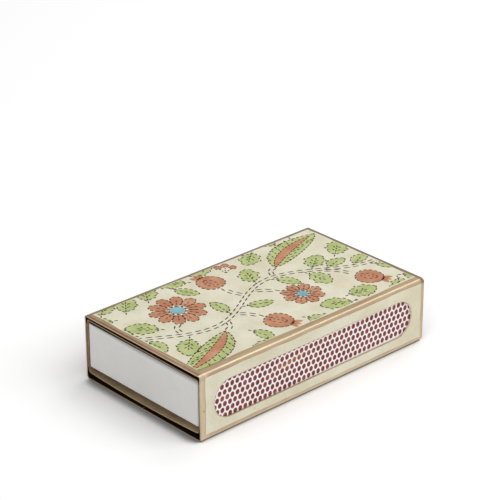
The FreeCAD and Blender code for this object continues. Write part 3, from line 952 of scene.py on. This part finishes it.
# %% Trim the print to the sheet and give each ink its film
PRINT_MARGIN = 0.35 * MM
for ink, copies in stamped.items():
    print_layer = join_up(copies, "print_" + ink)
    bpy.ops.object.mode_set(mode="EDIT")
    for axis in (0, 1):
        for level, way in zip(sheet_reach[axis], (-1, 1)):
            edge, normal = Vector(), Vector()
            edge[axis] = level - way * PRINT_MARGIN
            normal[axis] = way
            bpy.ops.mesh.select_all(action="SELECT")
            bpy.ops.mesh.bisect(plane_co=edge, plane_no=normal, clear_outer=True)
    bpy.ops.object.mode_set(mode="OBJECT")
    finish_with(print_layer, "SOLIDIFY", thickness=FILMS[ink], offset=1.0)
    settle(print_layer, Matrix.Translation((0, 0, sheet_reach[2][1])))
    print_layer.data.materials.append(ink_finishes[ink])
    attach(print_layer, "holder")
    print(print_layer.name, len(print_layer.data.polygons), "faces")
for block in blocks.values():
    for carved in block.values():
        bpy.data.objects.remove(carved)

# %% [markdown]
# ## Striking strips
# Each long side of the matchbox has a white strip with rows of dark red striking
# paste, dabbed on as dots that stand a little proud. A dot is a disc drawn up with a
# smaller top, and two Array modifiers set out every other row. The rows between are
# made in the same way, half a step along. Use has left a pale, slanting scuff across
# the front strip.

# %% The scuff
STRIKE = atan2(6.0, 42.0)
struck, given, leave = new_group("struck", (), ("Wear",))
slanted = add(struck, "Mapping", {"vector_type": "TEXTURE"}, Vector=given["Vector"],
              Location=(-4.5 * MM, 0, 17.6 * MM), Rotation=(0, -STRIKE, 0)).outputs["Vector"]
along = axes_of(slanted)
ragged = cloud(stretched(slanted, (0.2, 1, 1)), 900.0, 3.0)
on_line = ease(calc("ABSOLUTE", along["Z"]), 1.8 * MM, 0.2 * MM)
in_reach = ease(calc("ABSOLUTE", along["X"]), 22 * MM, 12 * MM)
in_front = calc("LESS_THAN", along["Y"], 0.0)
give_out(leave, Wear=times(on_line, ease(ragged, 0.40, 0.60), in_reach, in_front))

# %% Strip finish
strip, shader, place = new_finish("striker_strip")
grain = use_group(paper_grain, place, Blotch=90.0, Fibre=1700.0, Speck=420.0)
worn = use_group(struck, place)["Wear"]
white = tint(grain["Tone"], (240, 232, 231), (252, 247, 246))
white = tint(times(worn, 0.5), white, (226, 206, 160))
white = specked(grain, 0.5, white, (150, 110, 100))
dress(shader, white, grain["Height"], depth=0.05 * MM, rough=0.7, gloss=0.3)
paint(strip, "front_striker", "back_striker")

# %% Striking paste finish
paste, shader, place = new_finish("striking_paste")
missed = use_group(missed_ink, place, Patch=260.0, Grain=3200.0, Amount=0.45)
worn = use_group(struck, place)["Wear"]
maroon = mottled(missed["Tone"], (106, 42, 38), (134, 62, 54), 0.3, 0.7)
maroon = tint(missed["Bare"], maroon, (186, 140, 128))
maroon = tint(times(worn, 0.45), maroon, (176, 128, 92))
dress(shader, maroon, cloud(place, 4200.0, 3.0), depth=0.04 * MM, rough=0.8)
print("finish", paste.name)

# %% Rows of dots
DOT_RADIUS = 0.94 * MM
DOT_TALL = 1.16
DOT_HEIGHT = 0.035 * MM
DOT_CROWN = 0.82
DOT_CORNERS = 12
DOT_STEP = 2.455 * MM
ROW_STEP = 2.38 * MM
FIRST_DOT = (-55.0 * MM, 7.05 * MM)
DOTS_PER_ROW = 45
ROWS = (4, 3)
SKEW = 0.0138


def dotted_strip(name, node, along, upward):
    """Staggered rows of raised dots on a striking strip, printed a little askew."""
    plane, reach = lie(node, along, upward)
    face = reach[2][1] - reach[2][0]
    dots = []
    for shift, rows in enumerate(ROWS):
        clear_bench()
        at = (FIRST_DOT[0] + 0.5 * shift * DOT_STEP, FIRST_DOT[1] + shift * ROW_STEP, face)
        bpy.ops.mesh.primitive_circle_add(vertices=DOT_CORNERS, radius=DOT_RADIUS, fill_type="NGON",
                                          location=at)
        dot = bpy.context.object
        dot.scale.y = DOT_TALL
        bpy.ops.object.transform_apply()
        edit_all()
        bpy.ops.mesh.extrude_region_move(TRANSFORM_OT_translate={"value": (0, 0, DOT_HEIGHT)})
        bpy.ops.transform.resize(value=(DOT_CROWN, DOT_CROWN, 1.0), center_override=(at[0], at[1], 0))
        bpy.ops.mesh.select_all(action="SELECT")
        bpy.ops.mesh.normals_make_consistent(inside=False)
        bpy.ops.object.mode_set(mode="OBJECT")
        for count, step in ((DOTS_PER_ROW, (DOT_STEP, 0, 0)), (rows, (0, 2 * ROW_STEP, 0))):
            finish_with(dot, "ARRAY", count=count, use_relative_offset=False, use_constant_offset=True,
                        constant_offset_displace=step)
        dots.append(dot)
    rows = join_up(dots, name)
    settle(rows, plane @ Matrix.Rotation(SKEW, 4, "Z"))
    rows.data.materials.append(paste)
    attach(rows, "matchbox")
    print(rows.name, sum(ROWS) * DOTS_PER_ROW, "dots")


for side in ("front", "back"):
    dotted_strip(side + "_dots", side + "_striker", *FACES[side])

# %% [markdown]
# ## Matchbox card
# The sleeve is folded grey-brown card. Its outside was printed before it was folded: a
# plain red label with a cream rule and fine rays, above and below. The distance from
# the middle of each fold tells the outside of the card from its inside, also where the
# top droops and the floor sags, so the red stays off the raw card inside and off the
# cut ends.

# %% Sleeve finish
sleeve_low, sleeve_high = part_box("matchbox_sleeve")
CARD = 0.4 * MM
TOP_FOLD = 1.2 * MM
BASE_FOLD = 2.0 * MM
DROOP = 0.7 * MM
SAG = 0.95 * MM


def past_fold(away, outward, fold):
    """Whether a point lies in the outer half of the card, at a fold or beside it."""
    over_side = most(minus(away, sleeve_high.y - fold), 0.0)
    over_face = most(calc("ADD", outward, fold), 0.0)
    return calc("GREATER_THAN", reach_of(over_side, over_face), fold - 0.5 * CARD)


card, shader, place = new_finish("kraft_card")
axes = axes_of(place)
grain = use_group(paper_grain, place, Blotch=110.0, Fibre=1300.0, Speck=520.0)
kraft = mottled(grain["Tone"], (160, 136, 102), (190, 166, 130))
kraft = specked(grain, 0.7, kraft, (104, 82, 60))
away_x = calc("ABSOLUTE", axes["X"])
away_y = calc("ABSOLUTE", axes["Y"])
slope = 0.5 * DROOP / sleeve_high.y
top_at = calc("MULTIPLY_ADD", axes["Y"], slope, sleeve_high.z - slope * (sleeve_high.y - TOP_FOLD))
share = calc("DIVIDE", axes["Y"], sleeve_high.y)
floor_at = calc("MULTIPLY_ADD", times(share, share), SAG, sleeve_low.z)
outside = most(past_fold(away_y, minus(axes["Z"], top_at), TOP_FOLD),
               past_fold(away_y, minus(floor_at, axes["Z"]), BASE_FOLD))
print("folds found")

# %% Sleeve label
RAYS = 36.0
OVAL = (27 * MM, 15 * MM)
CREAM = (228, 216, 184)
angle = calc("ARCTAN2", axes["Y"], axes["X"])
ray = ease(calc("SINE", times(angle, RAYS)), -0.15, 0.15)
red = tint(times(ray, 0.5), (132, 36, 30), (152, 54, 42))
oval_x = calc("DIVIDE", axes["X"], OVAL[0])
oval_y = calc("DIVIDE", axes["Y"], OVAL[1])
oval = calc("ADD", times(oval_x, oval_x), times(oval_y, oval_y))
edge_x = minus(sleeve_high.x, away_x)
edge_y = minus(sleeve_high.y, away_y)
# Painted shade: the label turns near black within 3 to 5 mm of each end
red = tint(ease(edge_x, 5 * MM, 3 * MM), red, (40, 14, 12))
in_oval = calc("LESS_THAN", oval, 1.0)
in_ring = calc("COMPARE", oval, 1.17, 0.05)
in_rule = calc("COMPARE", calc("MINIMUM", edge_x, edge_y), 5.6 * MM, 0.3 * MM)
label = tint(most(in_oval, in_ring, in_rule), red, CREAM)
worn = use_group(missed_ink, place, Patch=150.0, Grain=1800.0, Amount=0.45)
label = tint(worn["Bare"], label, (166, 100, 80))
print("label printed")

# %% Cut ends of the sleeve
SHADED = (58, 46, 36)
# Painted shade: the cut ends are darkened beside the side walls and along their top 3 mm
on_end = calc("GREATER_THAN", away_x, sleeve_high.x - 0.02 * MM)
printed = times(outside, minus(1.0, on_end))
on_side = times(on_end, calc("LESS_THAN", edge_y, 1.5 * CARD))
kraft = tint(times(on_side, 0.9), kraft, SHADED)
on_lip = times(on_end, calc("GREATER_THAN", axes["Z"], sleeve_high.z - 3 * MM))
kraft = tint(times(on_lip, 0.25), kraft, SHADED)
dress(shader, tint(printed, kraft, label), grain["Height"], depth=0.08 * MM,
      rough=ease(printed, 0.0, 1.0, 0.85, 0.5))
paint(card, "matchbox_sleeve")

# %% [markdown]
# ## Tray
# The tray is the same kind of card with a white clay coat outside. Inside it is bare
# and a little warmer. The cut rims are dark, the grey core darkened further as painted
# shade, and the upper edge of the walls is painted a little grey as shade.

# %% Tray finish
tray_low, tray_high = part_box("tray")
BOARD = 0.45 * MM
coated, shader, place = new_finish("tray_card")
axes = axes_of(place)
grain = use_group(paper_grain, place, Blotch=80.0, Fibre=1200.0, Speck=330.0)
clay = mottled(grain["Tone"], (236, 235, 231), (241, 240, 236))
clay = specked(grain, 0.25, clay, (190, 186, 176))
# Painted shade: the upper edge of the walls is greyed, deeper away from the back wall
shade_depth = ease(axes["Y"], tray_high.y, 0.0, 0.8 * MM, 2.1 * MM)
painted_top_shade = ease(axes["Z"], minus(tray_high.z, shade_depth), tray_high.z, 0.0, 0.7)
clay = tint(painted_top_shade, clay, (140, 136, 128))
core = mottled(grain["Tone"], (196, 184, 160), (214, 204, 182))
core = specked(grain, 0.6, core, (140, 122, 96))
away_x = calc("ABSOLUTE", axes["X"])
away_y = calc("ABSOLUTE", minus(axes["Y"], 0.5 * (tray_low.y + tray_high.y)))
inside = times(calc("LESS_THAN", away_x, tray_high.x - 0.5 * BOARD),
               calc("LESS_THAN", away_y, 0.5 * (tray_high.y - tray_low.y) - 0.5 * BOARD),
               calc("GREATER_THAN", axes["Z"], tray_low.z + 0.5 * BOARD))
# The cut rim is dark: the grey core, darkened further as painted shade
core_and_shade_rim = calc("GREATER_THAN", axes["Z"], tray_high.z - 0.03 * MM)
board = tint(core_and_shade_rim, tint(inside, clay, core), (78, 67, 54))
dress(shader, board, grain["Height"], depth=0.06 * MM, rough=0.62, gloss=0.35)
paint(coated, "tray")

# %% [markdown]
# ## Matches
# Splints are split aspen, pale and straight in the grain, each a little lighter or
# darker than the next. The heads were dipped, so their coat is dark red, rough and
# dull. Noise stretched along the splint gives the grain, and because it changes across
# the layer, no two splints match.

# %% Splint and head finishes
LAYERS = ("bottom", "middle", "upper", "loose")
aspen, shader, place = new_finish("splint_wood")
figure = use_group(streaks, stretched(place, (0.02, 1, 1)), Coarse=260.0, Fine=2400.0)
wood = mottled(figure["Tone"], (206, 168, 118), (240, 216, 174), 0.34, 0.66)
drawn = stretched(place, (0.15, 1, 1))
pores = use_group(paper_grain, drawn, Blotch=90.0, Fibre=2600.0, Speck=700.0)
wood = specked(pores, 0.5, wood, (166, 124, 80))
dress(shader, wood, figure["Height"], depth=0.06 * MM, rough=0.7)
paint(aspen, *("splints_" + layer for layer in LAYERS))

dipped, shader, place = new_finish("head_composition")
lumps = use_group(paper_grain, place, Blotch=300.0, Fibre=3000.0, Speck=900.0)
dark = mottled(lumps["Tone"], (108, 30, 26), (146, 48, 38))
dark = specked(lumps, 0.5, dark, (196, 120, 96))
dress(shader, dark, lumps["Height"], depth=0.1 * MM, rough=0.78)
paint(dipped, *("heads_" + layer for layer in LAYERS))

# %% [markdown]
# ## Floor and light
# The photograph is a cut-out on white: the light comes from the front right and above,
# so a soft shadow falls to the left, and a second, smaller lamp draws the bright line
# along the front bend. A wide plain floor keeps the shadow, and two Ambient Occlusion
# nodes deepen it: one close to where the object stands, and one wide and faint. For
# the camera, and for what the metal mirrors, the floor and the world are lifted to
# white with the Light Path node, so no extra light falls on the object itself.

# %% Floor
FLOOR_SIDE = 6.0
FLOOR_DROP = 0.02 * MM
FLOOR_LIFT = 0.10
FLOOR_GREY = 0.85
NEAR_SHADE = 10 * MM
WIDE_SHADE = 45 * MM


def in_view(tree):
    """1 for rays from the camera and for those that metal and glass send on, else 0."""
    rays = add(tree, "LightPath").outputs
    return most(rays["Is Camera Ray"], rays["Is Glossy Ray"], rays["Is Transmission Ray"])


def openness(tree, side, distance):
    """How open the floor is towards a side, within a distance."""
    normal = add(tree, "CombineXYZ", X=side[0], Y=side[1], Z=side[2]).outputs["Vector"]
    shade = add(tree, "AmbientOcclusion", {"samples": 16}, Distance=distance, Normal=normal)
    return shade.outputs["AO"]


clear_bench()
bpy.ops.mesh.primitive_plane_add(size=FLOOR_SIDE, location=(0, 0, cad_low.z - FLOOR_DROP))
floor = bpy.context.object
floor.name = "studio_floor"
pale_floor, shader, place = new_finish("studio_floor")
tree = pale_floor.node_tree
shader.inputs["Roughness"].default_value = 1.0
shader.inputs["Specular IOR Level"].default_value = 0.0
shader.inputs["Emission Color"].default_value = (1, 1, 1, 1)
plug(times(in_view(tree), FLOOR_LIFT), shader.inputs["Emission Strength"])
near = ease(openness(tree, (0.6, 0.0, 0.8), NEAR_SHADE), 0.27, 0.70)
wide = ease(openness(tree, (-0.6, -0.5, 0.62), WIDE_SHADE), 0.35, 0.97, 0.54, 0.97)
from_camera = add(tree, "LightPath").outputs["Is Camera Ray"]
shaded = ease(from_camera, 0.0, 1.0, FLOOR_GREY, calc("MINIMUM", near, wide))
plug(shaded, shader.inputs["Base Color"])
floor.data.materials.append(pale_floor)
print("floor", FLOOR_SIDE, "m")

# %% World and lamps
AMBIENT = 0.56
world = bpy.data.worlds.new("studio")
bpy.context.scene.world = world
world.use_nodes = True
tree = world.node_tree
sky = tree.nodes["Background"]
sky.inputs["Color"].default_value = (1, 1, 1, 1)
plug(ease(in_view(tree), 0.0, 1.0, AMBIENT, 1.0), sky.inputs["Strength"])


def soft_lamp(name, azimuth, elevation, distance, side, level):
    """A square lamp that lights a facing surface to a share of its colour."""
    lamp_data = bpy.data.lights.new(name, "AREA")
    lamp_data.shape = "SQUARE"
    lamp_data.size = side
    lamp_data.energy = level * pi ** 2 * distance ** 2
    lamp = bpy.data.objects.new(name, lamp_data)
    bpy.context.scene.collection.objects.link(lamp)
    away = towards(radians(azimuth), radians(elevation))
    lamp.location = away * distance
    lamp.rotation_mode = "QUATERNION"
    lamp.rotation_quaternion = away.to_track_quat("Z", "Y")
    print(name, round(lamp_data.energy, 2), "W")


soft_lamp("key", azimuth=30, elevation=49, distance=1.4, side=1.1, level=0.51)
soft_lamp("edge", azimuth=108, elevation=53, distance=1.3, side=0.6, level=0.14)
bpy.context.scene.view_settings.view_transform = "Standard"
